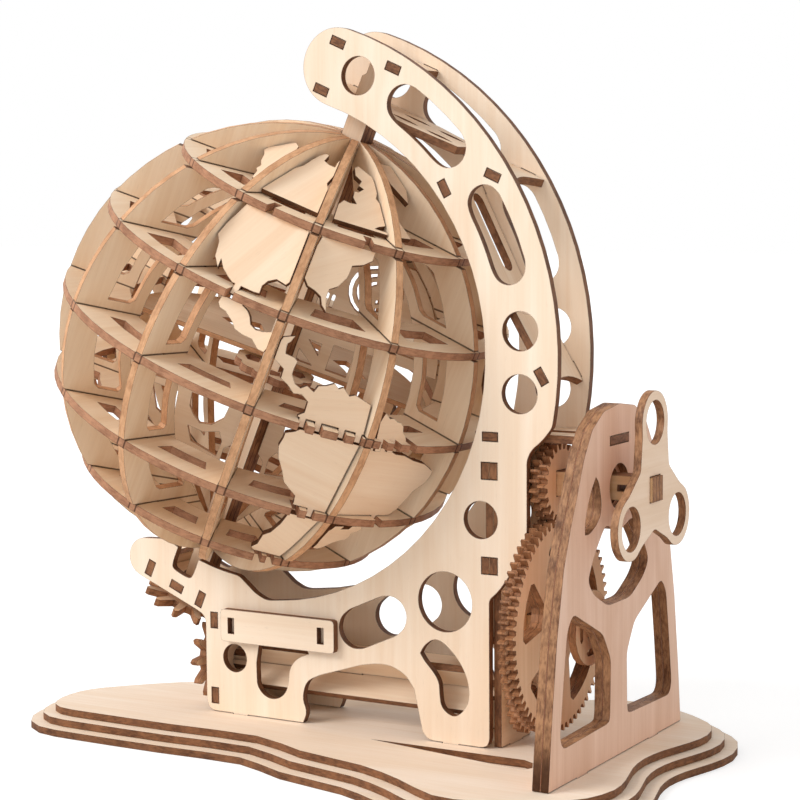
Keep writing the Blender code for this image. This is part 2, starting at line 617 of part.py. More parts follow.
def ring_edge(radius, tabs):
    """Outer edge of a ring, with a notch for each tab, placed by its distance from the cell's middle."""
    edge = []
    seat = radius * math.cos(rib_half) - NOTCH_DEPTH
    for i in range(RIBS):
        runs = [[p] for p in arc(0, 0, radius, -cell / 2, cell / 2, 5)[:-1]]
        for y in tabs.get(i, ()):
            low, high = y - TAB_NOTCH / 2, y + TAB_NOTCH / 2
            runs = [run for run in runs if not low - 0.4 < run[0][1] < high + 0.4]
            x_low, x_high = math.sqrt(radius**2 - low**2), math.sqrt(radius**2 - high**2)
            runs.append([(x_low, low), (seat, low), (seat, high), (x_high, high)])
        runs.sort(key=lambda run: run[0][1])
        edge += swung([p for run in runs for p in run], FIRST_RIB + (i + 0.5) * cell)
    return edge


def ring_bore(radius):
    """Inner edge of a ring, straight from rib to rib, with a slot at each rib."""
    inner, depth = radius - RING_WIDTH, radius - RING_WIDTH / 2 + GAP
    slot = [(inner, notch), (depth, notch), (depth, -notch), (inner, -notch)]
    return [p for i in range(RIBS) for p in swung(slot, FIRST_RIB - i * cell)]


rings = (
    ("ring_arctic", 9.0, 18.0, {2: (-2.4,), 3: (3.8,)}),
    ("ring_north", 7.8, 18.5, {2: (0.5,)}),
    ("ring_equator", 11.3, 16.8, {3: (-3.0, 3.0, 12.0, 18.5), 4: (-17.0, -11.0, -3.5)}),
    ("ring_south", 10.5, 17.5, {3: (7.0, 13.0), 4: (0.5,)}),
    ("ring_antarctic", 10.0, 17.0, {3: (4.5, 9.5)}),
)
for (name, window_out, window_in, tabs), s in zip(rings, RING_S):
    radius = ring_radius(s)
    seat = radius * math.cos(rib_half) - NOTCH_DEPTH
    windows = []
    for i in range(RIBS):
        outer = min(radius - window_out, seat - 1.6) if i in tabs else radius - window_out
        inner = radius - window_in
        window = arc(0, 0, inner, -6.6, 6.6, 2) + arc(0, 0, outer, 8.2, -8.2, 2)
        windows.append(swung(window, FIRST_RIB + (i + 0.5) * cell))
    holes = [ring_bore(radius)] + windows
    globe.append(square_to_axis(name, s, ring_edge(radius, tabs), holes, birch_ring))


# Ribs: twelve half moons about the post, slotted from outside for the rings.
rib_inner = GLOBE_R - RIB_WAIST
tip_s = math.sqrt(GLOBE_R**2 - RIB_TIP**2)
rib = [(RIB_TIP, -tip_s)]
levels = [-tip_s] + sorted(RING_S) + [tip_s]
for low, high in zip(levels[:-1], levels[1:]):
    first = math.degrees(math.asin(low / GLOBE_R))
    last = math.degrees(math.asin(high / GLOBE_R))
    rib += arc(0, 0, GLOBE_R, first, last, round((last - first) / RIB_STEP))[1:-1]
    if high < tip_s:
        depth = ring_radius(high) - RING_WIDTH / 2 - GAP
        rib += [(ring_radius(high - notch), high - notch), (depth, high - notch)]
        rib += [(depth, high + notch), (ring_radius(high + notch), high + notch)]
rib += [(RIB_TIP, tip_s), (RIB_TIP, GLOBE_R - RIB_TIP_WIDTH)]
rib += arc(0, 0, rib_inner, 49.0, -49.0, 12)
rib.append((RIB_TIP, RIB_TIP_WIDTH - GLOBE_R))
rib_windows = []
for low, high in ((5.5, RING_S[1] - 4.5), (RING_S[1] + 4.5, RING_S[0] - 7.0)):
    inner, outer = rib_inner + RIB_INNER_RIM, GLOBE_R - RIB_OUTER_RIM
    middle = (low + high) / 2
    window = [(math.sqrt(outer**2 - s**2), s) for s in (low, middle, high)]
    window += [(math.sqrt(inner**2 - s**2), s) for s in (high, middle, low)]
    window = window[:1] + rounded(window, 1.6, 1)[2:]
    rib_windows += [window, [(x, -y) for x, y in window]]
for i in range(RIBS):
    a = math.radians(FIRST_RIB + i * cell)
    out = EAST * math.cos(a) + EY * math.sin(a)
    globe.append(plate(f"rib_{i + 1:02d}", rib, rib_windows, CENTRE, out, AXIS, PLY, birch_rib))


# Land: coast outlines in millimetres from the middle of the cell's lower chord, east and up.
def land(name, column, band, coast, low_tabs=(), high_tabs=()):
    """Land plate of one cell, kept clear of its ribs and rings, with tabs that pass through the rings."""
    base, top = RING_S[band], RING_S[band - 1] if band else GLOBE_R - LAND_PLY
    low_half, high_half = (ring_radius(s) * math.sin(rib_half) for s in (base, top))
    run, rise = (high_half - low_half) / math.tan(rib_half), top - base
    height = math.hypot(run, rise)
    lean_in, lean_up = -run / height, rise / height
    a = math.radians(FIRST_RIB + (column + 0.5) * cell)
    out = EAST * math.cos(a) + EY * math.sin(a)
    east = AXIS.cross(out)
    north = out * -lean_in + AXIS * lean_up
    facing = out * lean_up + AXIS * lean_in
    origin = CENTRE + out * (low_half / math.tan(rib_half)) + AXIS * base - facing * LAND_INSET
    shallow, deep = LAND_INSET - LAND_PLY / 2, LAND_INSET + LAND_PLY / 2
    faces = (-shallow * lean_in, -deep * lean_in)
    bottom = (PLY / 2 + GAP - min(faces)) / lean_up
    ceiling = (rise - PLY / 2 - GAP - max(faces)) / lean_up
    side = (PLY / 2 + GAP + deep * lean_up * math.sin(rib_half)) / math.cos(rib_half)
    through = (PLY + GAP) / lean_up
    outline = []
    for x, y in coast:
        y = min(max(y, bottom), ceiling)
        limit = low_half + (high_half - low_half) * y / height - side
        p = (min(max(x, -limit), limit), y)
        if not outline or math.dist(p, outline[-1]) > 0.3:
            outline.append(p)
    for x in high_tabs:
        outline = with_tab(outline, x, ceiling, through)
    for x in low_tabs:
        outline = with_tab(outline, x, bottom, -through)
    return plate(name, outline, [], origin, east, north, LAND_PLY, birch_land)


def with_tab(outline, x, level, through):
    """The outline with a tab added to its straight edge at this level."""
    low, high = x - LAND_TAB / 2, x + LAND_TAB / 2
    for i, (x0, y0) in enumerate(outline):
        x1, y1 = outline[(i + 1) % len(outline)]
        flat = abs(y0 - level) < 0.01 and abs(y1 - level) < 0.01
        if flat and min(x0, x1) < low and max(x0, x1) > high:
            near, far = (low, high) if x1 > x0 else (high, low)
            tab = [(near, level), (near, level + through), (far, level + through), (far, level)]
            return outline[: i + 1] + tab + outline[i + 1 :]
    return outline


canada_west = [(-13, 9), (-12, 12), (-10, 18), (-8.5, 22), (-7.5, 26.5), (-5.5, 30), (-4.5, 35)]
canada_west += [(-3.5, 38.5), (-2, 41), (-0.5, 41), (-0.5, 37), (2, 36), (4.5, 36), (4, 39), (5, 41)]
canada_west += [(7.5, 37), (7.5, 31), (6.5, 26), (9, 23.5), (11, 15.5), (13, 9)]
globe.append(land("canada_west", 2, 0, canada_west))
canada_east = [(-9.5, 8.5), (-8, 17.5), (-6, 20.5), (-3.5, 20), (-1, 20.5), (-2.5, 23.5), (-2, 27)]
canada_east += [(-0.5, 27), (1.5, 29.5), (-0.5, 30.5), (0.5, 33.5), (-2, 35.5), (-2.5, 39.5)]
canada_east += [(-1, 41), (2, 39), (4.5, 37.5), (7.5, 35), (8, 29.5), (6.5, 26.5), (8.5, 24.5)]
canada_east += [(11, 21.5), (11.5, 17.5), (12.5, 13.5), (8, 12), (6.5, 10.5), (12, 10.4), (12, 8.5)]
globe.append(land("canada_east", 3, 0, canada_east))
america_west = [(-12, 33.5), (-13.5, 28.5), (-15, 23.5), (-16, 18.5), (-14, 16), (-12.5, 10.5)]
america_west += [(-9.5, 7), (-10, 10.5), (-7.5, 7.5), (-4.5, 5.5), (-2, 2.5), (7, 2.5), (9, 4.5)]
america_west += [(8.5, 7.5), (9.5, 10), (12, 12), (16, 11.5), (17.5, 13), (16, 22), (14, 33.5)]
globe.append(land("america_west", 2, 1, america_west, (0.5,), (-2.4,)))
america_east = [(-13, 33.5), (7.5, 33.5), (7, 30), (4, 27.5), (0, 26), (-0.5, 23), (-1, 21)]
america_east += [(-3.5, 17), (-6.5, 15), (-7, 12), (-6, 6.5), (-8, 8.5), (-9, 11.5), (-11.5, 13)]
america_east += [(-14.5, 14), (-17.5, 16.5), (-16.5, 22.5), (-14.5, 29.5)]
globe.append(land("america_east", 3, 1, america_east, (), (3.8,)))
amazon = [(-18.5, 28.5), (-14.5, 30), (-15.5, 27.5), (-16.5, 26.5), (-16, 23), (-12.5, 22.5)]
amazon += [(-11, 21.5), (-11.5, 18.5), (-11.5, 16.5), (-9.5, 13.5), (-7, 12.5), (-5, 14)]
amazon += [(-2, 12.5), (-1, 15), (2, 16), (4.5, 17.5), (6.5, 16), (8, 17), (11, 14.5), (13, 15.5)]
amazon += [(16.5, 14.5), (22.5, 13.5), (22.5, 0.5), (-5, 0.5), (-5, 3), (-3, 4.5), (-3, 8.5)]
amazon += [(-6, 10.5), (-9, 10), (-12, 12.5), (-15, 14), (-15, 17.5), (-17.5, 19), (-21, 20)]
amazon += [(-21, 27)]
globe.append(land("south_america_north", 3, 2, amazon, (-3.0, 3.0, 12.0, 18.5)))
andes = [(-2.5, 35.5), (24, 35.5), (24, 0.5), (6, 0.5), (6, 3), (5.5, 5.5), (2, 8), (-0.5, 10)]
andes += [(-2.5, 14), (-6, 19.5), (-7.5, 24), (-7, 27.5), (-7, 30), (-4, 31.5)]
globe.append(land("south_america_west", 3, 3, andes, (7.0, 13.0)))
brazil = [(-22, 35.5), (-12, 35.5), (-6, 30.5), (-1, 30), (4.5, 28), (11.5, 26.5), (17.5, 23.5)]
brazil += [(18, 21), (17, 17.5), (13.5, 13.5), (12, 8.5), (10.5, 5), (8, 2), (5.5, 0.5)]
brazil += [(-22, 0.5)]
globe.append(land("south_america_east", 4, 3, brazil, (0.5,)))
patagonia = [(6.5, 35), (22, 35), (20, 21), (17.5, 14), (14.5, 8), (13, 2), (2.5, 2), (1, 3.5)]
patagonia += [(2.5, 6.5), (2.5, 13), (4.5, 16), (6, 23)]
globe.append(land("patagonia", 3, 4, patagonia, (4.5, 9.5)))
turning("globe_pivot", CENTRE, globe)
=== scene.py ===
"""Wooden mechanical globe: laser-cut birch plywood on a stepped base, turned by a hand crank."""

import math

import bmesh
import bpy
from mathutils import Matrix, Vector


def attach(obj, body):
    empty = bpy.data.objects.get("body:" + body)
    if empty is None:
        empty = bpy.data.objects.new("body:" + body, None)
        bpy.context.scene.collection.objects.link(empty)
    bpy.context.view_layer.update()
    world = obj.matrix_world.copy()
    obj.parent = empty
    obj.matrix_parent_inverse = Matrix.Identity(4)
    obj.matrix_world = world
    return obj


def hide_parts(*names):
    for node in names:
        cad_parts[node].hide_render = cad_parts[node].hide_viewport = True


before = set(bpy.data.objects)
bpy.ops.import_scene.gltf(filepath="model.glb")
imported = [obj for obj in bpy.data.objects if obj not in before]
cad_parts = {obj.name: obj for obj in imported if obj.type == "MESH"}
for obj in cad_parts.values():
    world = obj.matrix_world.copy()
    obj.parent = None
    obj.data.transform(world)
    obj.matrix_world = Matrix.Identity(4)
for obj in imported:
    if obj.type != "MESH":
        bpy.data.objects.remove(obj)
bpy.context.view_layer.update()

# The base: three sheets of birch plywood, each wider than the one above, glued in steps.
# The laser leaves every cut edge brown.
BASE_WOOD = ((243, 226, 208), (234, 211, 186))
BASE_EDGE = ((138, 92, 60), (88, 54, 33))
BURN_AND_SHADE_BROWN = (70, 41, 24)
ARRIS = 0.00042
IN_MM = 1000.0
FACE_LEAN = 0.8
SPECULAR = 0.25
ALONG_X, ALONG_Y, ALONG_Z = Vector((1, 0, 0)), Vector((0, 1, 0)), Vector((0, 0, 1))


def paint(colour):
    """Colour of 0 to 255 as the shader's own numbers."""
    return (*[((c / 255 + 0.055) / 1.055) ** 2.4 for c in colour], 1.0)


def put(tree, kind, feeds, **settings):
    """Adds a node, sets it up and feeds its inputs from numbers or from other nodes."""
    made = tree.nodes.new(kind)
    for key, value in settings.items():
        setattr(made, key, value)
    for key, value in feeds.items():
        if isinstance(value, bpy.types.NodeSocket):
            tree.links.new(value, made.inputs[key])
        else:
            made.inputs[key].default_value = value
    return made


def ramp(tree, factor, stops):
    """Colour ramp through the stops."""
    made = put(tree, "ShaderNodeValToRGB", {0: factor})
    elements = made.color_ramp.elements
    while len(elements) < len(stops):
        elements.new(0.5)
    for element, (place, colour) in zip(elements, stops):
        element.position = place
        element.color = paint(colour)
    return made.outputs[0]


def reckon(tree, operation, *values):
    """Math node on numbers or other nodes."""
    return put(tree, "ShaderNodeMath", dict(enumerate(values)), operation=operation).outputs[0]


def blended(tree, factor, a, b, way="MIX"):
    """Mix of two colours."""
    feeds = {0: factor, 6: a, 7: b}
    return put(tree, "ShaderNodeMix", feeds, data_type="RGBA", blend_type=way).outputs[2]


def noise(tree, board, scale, detail, rough, twist=0.0):
    """Noise whose marks have this size along, across and through the board, in millimetres."""
    sized = put(tree, "ShaderNodeMapping", {"Vector": board, "Scale": [1 / s for s in scale]})
    feeds = {"Vector": sized.outputs[0], "Scale": 1.0, "Detail": detail, "Roughness": rough}
    return put(tree, "ShaderNodeTexNoise", {**feeds, "Distortion": twist}).outputs[0]


def birch(name, facing, middle, thick, grain, wood, edge, sheets=1, seed=0.0):
    """Birch plywood: grained faces, cut edges scorched by the laser, and a burnt arris.

    The wood's colours are the pale and the figured ones, the edge's the light and the dark ones.
    """
    made = bpy.data.materials.new(name)
    made.use_nodes = True
    tree = made.node_tree
    shader = tree.nodes["Principled BSDF"]
    along = (grain - facing * grain.dot(facing)).normalized()
    turn = Matrix((along, facing.cross(along), facing))
    place = put(tree, "ShaderNodeTexCoord", {})
    feeds = {"Vector": place.outputs["Object"], "Location": turn @ middle * -IN_MM}
    feeds["Rotation"] = turn.to_euler("XYZ")
    feeds["Scale"] = (IN_MM, IN_MM, IN_MM)
    board = put(tree, "ShaderNodeMapping", feeds).outputs[0]
    own_part = (seed * 37, seed * 91, seed)
    moved = put(tree, "ShaderNodeMapping", {"Vector": board, "Location": own_part})
    own = moved.outputs[0]

    pale, figure = wood
    bands = noise(tree, own, (110.0, 16.0, 30.0), 2.0, 0.5, 1.2)
    streaks = noise(tree, own, (60.0, 1.6, 6.0), 4.0, 0.6, 0.2)
    fine = reckon(tree, "MULTIPLY_ADD", streaks, 0.7, -0.45)
    amount = reckon(tree, "MULTIPLY_ADD", bands, 1.3, fine)
    face = ramp(tree, amount, ((0.2, pale), (0.85, figure)))
    flecks = noise(tree, own, (4.0, 0.5, 2.0), 2.0, 0.5)
    speck = put(
        tree, "ShaderNodeMapRange", {0: flecks, 1: 0.64, 2: 0.78, 3: 0.0, 4: 0.22}
    ).outputs[0]
    face = blended(tree, speck, face, paint([c * 0.84 for c in figure]))

    light, dark = edge
    scorch = noise(tree, own, (2.6, 2.6, 0.8), 3.0, 0.7)
    blotch = noise(tree, own, (8.0, 8.0, 10.0), 2.0, 0.5)
    patchy = reckon(tree, "MULTIPLY_ADD", blotch, 1.1, -0.8)
    toast = reckon(tree, "MULTIPLY_ADD", scorch, 1.5, patchy)
    cut = ramp(tree, toast, ((0.25, light), (0.85, dark)))
    if sheets > 1:
        depth = put(tree, "ShaderNodeSeparateXYZ", {0: board}).outputs[2]
        sheet = thick / sheets
        from_edge = reckon(tree, "ADD", depth, thick / 2 + sheet / 2)
        within = reckon(tree, "FLOORED_MODULO", from_edge, sheet)
        off_glue = reckon(tree, "ABSOLUTE", reckon(tree, "SUBTRACT", within, sheet / 2))
        glue = put(tree, "ShaderNodeMapRange", {0: off_glue, 1: 0.16, 2: 0.3, 3: 0.8, 4: 0.0})
        cut = blended(tree, glue.outputs[0], cut, paint(BURN_AND_SHADE_BROWN))

    feeds = {0: place.outputs["Normal"], 1: facing}
    lean = put(tree, "ShaderNodeVectorMath", feeds, operation="DOT_PRODUCT").outputs["Value"]
    flat = reckon(tree, "GREATER_THAN", reckon(tree, "ABSOLUTE", lean), FACE_LEAN)
    colour = blended(tree, flat, cut, face)
    rounded = put(tree, "ShaderNodeBevel", {"Radius": ARRIS}, samples=4).outputs[0]
    true = put(tree, "ShaderNodeNewGeometry", {}).outputs["True Normal"]
    meet = put(tree, "ShaderNodeVectorMath", {0: rounded, 1: true}, operation="DOT_PRODUCT")
    rim = put(
        tree, "ShaderNodeMapRange", {0: meet.outputs["Value"], 1: 0.99, 2: 0.86, 3: 0.0, 4: 0.8}
    ).outputs[0]
    tree.links.new(blended(tree, rim, colour, paint(BURN_AND_SHADE_BROWN)), shader.inputs["Base Color"])
    rough = put(
        tree, "ShaderNodeMapRange", {0: streaks, 1: 0.3, 2: 0.7, 3: 0.52, 4: 0.68}
    ).outputs[0]
    tree.links.new(rough, shader.inputs["Roughness"])
    shader.inputs["Specular IOR Level"].default_value = SPECULAR
    relief = put(tree, "ShaderNodeBump", {"Strength": 0.12, "Distance": 0.00012, "Height": streaks})
    tree.links.new(relief.outputs[0], shader.inputs["Normal"])
    return made


def lie_of(piece, facing=None):
    """The way a flat piece faces, the middle of its sheet, and its thickness in millimetres."""
    if facing is None:
        areas = {}
        for face in piece.data.polygons:
            key = tuple(round(c, 2) for c in face.normal)
            areas[key] = areas.get(key, 0.0) + face.area
        facing = Vector(max(areas, key=areas.get)).normalized()
        best = max(piece.data.polygons, key=lambda face: face.area * abs(face.normal.dot(facing)))
        facing = best.normal.normalized()
    points = [v.co for v in piece.data.vertices]
    middle = sum(points, Vector()) / len(points)
    depths = [p.dot(facing) for p in points]
    middle += facing * ((max(depths) + min(depths)) / 2 - middle.dot(facing))
    return facing, middle, (max(depths) - min(depths)) * IN_MM


def clad(piece, grain, wood, edge, sheets=1, facing=None):
    """Gives a piece its plywood, cut from its own part of the sheet."""
    facing, middle, thick = lie_of(piece, facing)
    seed = sum(map(ord, piece.name)) % 23 * 0.7
    material = birch(f"birch_{piece.name}", facing, middle, thick, grain, wood, edge, sheets, seed)
    piece.data.materials.clear()
    piece.data.materials.append(material)


def dress(names, grain, wood, edge, sheets=1, facing=None):
    """Gives CAD pieces their plywood."""
    for name in names:
        clad(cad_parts[name], grain, wood, edge, sheets, facing)


dress(("base_bottom", "base_middle", "base_top"), ALONG_X, BASE_WOOD, BASE_EDGE)


# The two side plates: the band round the globe, the feet and the arm under its axis, and the
# bare name strip on the near one. The palest sheet of the set, cut along the grain. Each plate's
# outline is the CAD's, with its arcs in finer steps, as the laser leaves them.
SIDE_WOOD = ((250, 232, 211), (240, 215, 188))
SIDE_EDGE = ((128, 86, 58), (84, 52, 34))
FINE_STEP = 0.0085
FINE_SHARE = 38.0
COARSE_CUT = 0.0013
NARROWEST_WALL = 0.0009
LEAST_CORNER, MOST_CORNER = math.radians(3), math.radians(50)
FLAT_CORNER, SOFT_CORNER = math.radians(0.4), math.radians(25)
WELD, WELD_ARC = 0.000002, 0.00002
BROAD_FACE = 0.99


def deselected():
    bpy.ops.object.select_all(action="DESELECT")


def pick_corners(piece, fine):
    """Selects the slight corners of a sheet's cut edge: of its arcs, or of its long runs."""
    mesh = bmesh.from_edit_mesh(piece.data)
    mesh.normal_update()
    for corner in mesh.edges:
        walls = corner.link_faces
        corner.select = False
        if len(walls) == 2 and all(len(wall.verts) == 4 for wall in walls):
            slight = LEAST_CORNER < corner.calc_face_angle(0.0) < MOST_CORNER
            widths = [wall.calc_area() / corner.calc_length() for wall in walls]
            of_kind = (max(widths) < FINE_STEP) == fine
            corner.select = slight and min(widths) > NARROWEST_WALL and of_kind
    mesh.select_flush_mode()
    bmesh.update_edit_mesh(piece.data)
    return any(corner.select for corner in mesh.edges)


def pick_rims(piece, facing, depth, way):
    """Selects the open rims on one side of a sheet that has only its cut edges."""
    mesh = bmesh.from_edit_mesh(piece.data)
    for rim in mesh.edges:
        heights = [way * (vertex.co.dot(facing) - depth) for vertex in rim.verts]
        rim.select = rim.is_boundary and min(heights) > 0
    mesh.select_flush_mode()
    bmesh.update_edit_mesh(piece.data)


def smoothed(node, body, grain, wood, edge):
    """Stands for a CAD sheet with the same outline, its arcs cut in finer steps."""
    deselected()
    piece = bpy.data.objects.new(f"{node}_smooth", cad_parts[node].data.copy())
    bpy.context.collection.objects.link(piece)
    bpy.context.view_layer.objects.active = piece
    piece.select_set(True)
    facing, middle, _ = lie_of(piece)
    bpy.ops.object.mode_set(mode="EDIT")
    bpy.ops.mesh.select_mode(type="FACE")
    bpy.ops.mesh.select_all(action="SELECT")
    bpy.ops.mesh.remove_doubles(threshold=WELD)
    bpy.ops.mesh.dissolve_limited(angle_limit=FLAT_CORNER)
    mesh = bmesh.from_edit_mesh(piece.data)
    for face in mesh.faces:
        face.select = abs(face.normal.dot(facing)) > BROAD_FACE
    bmesh.update_edit_mesh(piece.data)
    bpy.ops.mesh.delete(type="ONLY_FACE")
    bpy.ops.mesh.select_mode(type="EDGE")
    mesh = bmesh.from_edit_mesh(piece.data)
    for bridge in mesh.edges:
        bridge.select = not bridge.link_faces
    bmesh.update_edit_mesh(piece.data)
    bpy.ops.mesh.delete(type="EDGE")
    if pick_corners(piece, fine=True):
        bpy.ops.mesh.bevel(
            offset_type="PERCENT", offset_pct=FINE_SHARE, segments=3, affect="EDGES"
        )
    if pick_corners(piece, fine=False):
        bpy.ops.mesh.bevel(
            offset_type="OFFSET", offset=COARSE_CUT, segments=3, affect="EDGES", clamp_overlap=True
        )
    bpy.ops.mesh.select_all(action="SELECT")
    bpy.ops.mesh.remove_doubles(threshold=WELD_ARC)
    for way in (1, -1):
        pick_rims(piece, facing, middle.dot(facing), way)
        bpy.ops.mesh.fill(use_beauty=True)
    bpy.ops.mesh.select_all(action="SELECT")
    bpy.ops.mesh.normals_make_consistent(inside=False)
    bpy.ops.object.mode_set(mode="OBJECT")
    bpy.ops.object.shade_smooth_by_angle(angle=SOFT_CORNER)
    clad(piece, grain, wood, edge)
    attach(piece, body)
    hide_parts(node)


for plate in ("side_plate_front", "side_plate_rear"):
    smoothed(plate, "frame", ALONG_Z, SIDE_WOOD, SIDE_EDGE)
dress(("nameplate",), ALONG_X, SIDE_WOOD, SIDE_EDGE)


# Cross pieces: bearings, spacers and panels whose tabs go through the side plates.
CROSS_WOOD = ((243, 221, 196), (226, 194, 162))
CROSS_EDGE = ((146, 100, 68), (88, 55, 36))
cross_pieces = ["head_bearing_upper", "tie_plate", "left_bearing_plate"]
cross_pieces += ["band_spacer_upper", "arm_bearing"]
cross_pieces += ["arm_plate_outer", "arm_plate_inner", "inner_panel_short", "inner_panel_tall"]
dress(cross_pieces, ALONG_Y, CROSS_WOOD, CROSS_EDGE)


# The three cross pieces that reach far down the arm, seen through its long holes: the lower
# bearing of the globe's post, with two pairs of leaf-shaped slots, and two spacers under it,
# the inner one with a long slot. Each is one sheet with a tab at each side.
GLOBE_CENTRE = Vector((-0.0345, 0.0, 0.155))
TILT = math.radians(23.5)
AXIS = Vector((math.sin(TILT), 0, math.cos(TILT)))
EAST = Vector((math.cos(TILT), 0, -math.sin(TILT)))
PLY = 3.0
BETWEEN = 12.0
THROUGH = 15.3
TAB_HALF = 3.0


def flat_sheet(name, points):
    """Flat outline in the world's X and Y, as one face."""
    deselected()
    bpy.ops.mesh.primitive_circle_add(vertices=len(points), fill_type="NGON")
    sheet = bpy.context.object
    sheet.name = name
    for vertex, (x, y) in zip(sheet.data.vertices, points):
        vertex.co = (x, y, 0.0)
    return sheet


def thicken(sheet, thick):
    """Gives a flat outline its thickness, half to each side."""
    bpy.context.view_layer.objects.active = sheet
    sheet.select_set(True)
    made = sheet.modifiers.new("sheet", "SOLIDIFY")
    made.thickness = thick
    made.offset = 0.0
    bpy.ops.object.modifier_apply(modifier=made.name)


def pierced(name, outline, holes, thick=PLY):
    """Sheet cut to an outline in millimetres, with holes right through it."""
    sheet = flat_sheet(name, [(x / 1000, y / 1000) for x, y in outline])
    thicken(sheet, thick / 1000)
    for hole in holes:
        cutter = flat_sheet("cutter", [(x / 1000, y / 1000) for x, y in hole])
        thicken(cutter, thick * 3 / 1000)
        deselected()
        bpy.context.view_layer.objects.active = sheet
        cut = sheet.modifiers.new("hole", "BOOLEAN")
        cut.object = cutter
        cut.operation = "DIFFERENCE"
        bpy.ops.object.modifier_apply(modifier=cut.name)
        bpy.data.objects.remove(cutter, do_unlink=True)
    return sheet


def lay(sheet, origin, across, up):
    """Lays a sheet so that its own X and Y run these ways from the origin."""
    place = Matrix((across, up, across.cross(up))).transposed().to_4x4()
    place.translation = origin
    sheet.data.transform(place)


def ellipse(x, y, wide, high, steps=16):
    turns = [math.tau * i / steps for i in range(steps)]
    return [(x + wide * math.cos(t), y + high * math.sin(t)) for t in turns]


def leaf(x, y, half, bulge):
    """Pointed slot."""
    top = [(x + half * t, y + bulge * (1 - t * t)) for t in (-1, -0.6, -0.2, 0.2, 0.6, 1)]
    return top + [(px, 2 * y - py) for px, py in reversed(top[1:-1])]


def stadium(x0, x1, y, half, steps=8):
    """Slot with round ends along X."""
    ends = [(x1, -90), (x0, 90)]
    return [
        (x + half * math.cos(math.radians(start + 180 * i / steps)),
         y + half * math.sin(math.radians(start + 180 * i / steps)))
        for x, start in ends for i in range(steps + 1)
    ]


def hollow_end(x, way, depth=3.0):
    """Hollow end of a spacer, from one edge to the other."""
    steps = (-0.75, -0.5, -0.2, 0.2, 0.5, 0.75)
    return [(x - way * depth * (1 - t * t), way * BETWEEN * t) for t in steps]


def spacer(first, last):
    """Outline of a spacer with a tab at each side and hollow ends."""
    half = [(first, -BETWEEN), (-TAB_HALF, -BETWEEN), (-TAB_HALF, -THROUGH), (TAB_HALF, -THROUGH)]
    half += [(TAB_HALF, -BETWEEN), (last, -BETWEEN)]
    other = [(x, -y) for x, y in reversed(half)]
    return half + hollow_end(last, 1) + other + hollow_end(first, -1)


def stand_in(piece, node, origin, across):
    """Lays a cross piece between the side plates, in place of the CAD's shorter one."""
    lay(piece, origin, across, ALONG_Y)
    clad(piece, across, CROSS_WOOD, CROSS_EDGE)
    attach(piece, "frame")
    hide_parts(node)


head = [(-18, -BETWEEN), (-16, -BETWEEN), (-16, -THROUGH), (-10, -THROUGH), (-10, -BETWEEN)]
head += [(26, -BETWEEN), (34, -10.4), (46, -8.2)]
head += [(x, -y) for x, y in reversed(head)]
head_holes = [ellipse(0, 0, 6.7, 6.7, 24)]
head_holes += [leaf(x, y, 6.2, 1.5) for x in (19.5, 35.5) for y in (-4.8, 4.8)]
head_plate = pierced("head_bearing_long", head, head_holes)
stand_in(head_plate, "head_bearing_lower", GLOBE_CENTRE + AXIS * 0.1024, EAST)
for name, node, reach, angle, across, first, last, slots in (
    ("band_spacer_slotted", "band_spacer_inner",
     0.1024, 52.9, (0.45, -0.89), -8.5, 52.0, [(6.5, 31.5)]),
    ("band_spacer_long", "band_spacer_lower",
     0.1214, 92.9, (0.51, -0.86), -27.0, 5.0, []),
):
    turned = math.radians(angle)
    spot = GLOBE_CENTRE + Vector((math.sin(turned), 0, math.cos(turned))) * reach
    holes = [stadium(start, end, 4.2, 3.6) for start, end in slots]
    plate = pierced(name, spacer(first, last), holes)
    stand_in(plate, node, spot, Vector((across[0], 0, across[1])).normalized())


# The crank's panel: two sheets on the base, face to face, with windows cut through both.
# The panel's wood is the handle's wood made darker: painted shade, as on a face turned from the
# lamp.
SHADED_PANEL_WOOD = ((241, 204, 181), (225, 183, 156))
PANEL_EDGE = ((172, 126, 90), (98, 62, 40))
for panel in ("crank_panel_inner", "crank_panel_outer"):
    smoothed(panel, "frame", ALONG_Z, SHADED_PANEL_WOOD, PANEL_EDGE)


# The crank: a three-lobed handle and two pinion sheets on a square shaft glued up from strips.
SHAFT_WOOD = ((226, 190, 150), (204, 162, 120))
SHAFT_EDGE = ((170, 120, 82), (104, 66, 42))
GEAR_WOOD = ((234, 197, 162), (218, 177, 140))
GEAR_EDGE = ((170, 118, 80), (112, 72, 46))
HANDLE_WOOD = ((248, 222, 198), (234, 203, 174))
smoothed("crank_handle", "crank", ALONG_Y, HANDLE_WOOD, PANEL_EDGE)
dress(("crank_shaft",), ALONG_X, SHAFT_WOOD, SHAFT_EDGE, 3, ALONG_Y)
dress(("pinion_inner", "pinion_outer"), ALONG_Z, GEAR_WOOD, GEAR_EDGE)


# The big wheel: two toothed sheets set half a tooth apart, with its hub, shaft and small gear.
dress(("wheel_inner", "wheel_outer", "wheel_hub", "stage_driver"), ALONG_Z, GEAR_WOOD, GEAR_EDGE)
dress(("wheel_shaft",), ALONG_X, SHAFT_WOOD, SHAFT_EDGE, 2, ALONG_Y)


# The long shaft under the side plates: two strips slid into one another, with a gear at one
# end and the peg-tooth wheel at the other.
dress(("drive_strip_left", "drive_strip_right"), ALONG_X, CROSS_WOOD, CROSS_EDGE)
dress(("stage_follower", "crown_wheel"), ALONG_Z, GEAR_WOOD, GEAR_EDGE)


# The globe's post and its peg-tooth wheel. The post is glued up from three strips, and its
# broad faces look to the front and the back.
dress(("axis_post",), AXIS, CROSS_WOOD, SHAFT_EDGE, 3, ALONG_Y)
dress(("globe_wheel",), ALONG_Y, GEAR_WOOD, GEAR_EDGE)
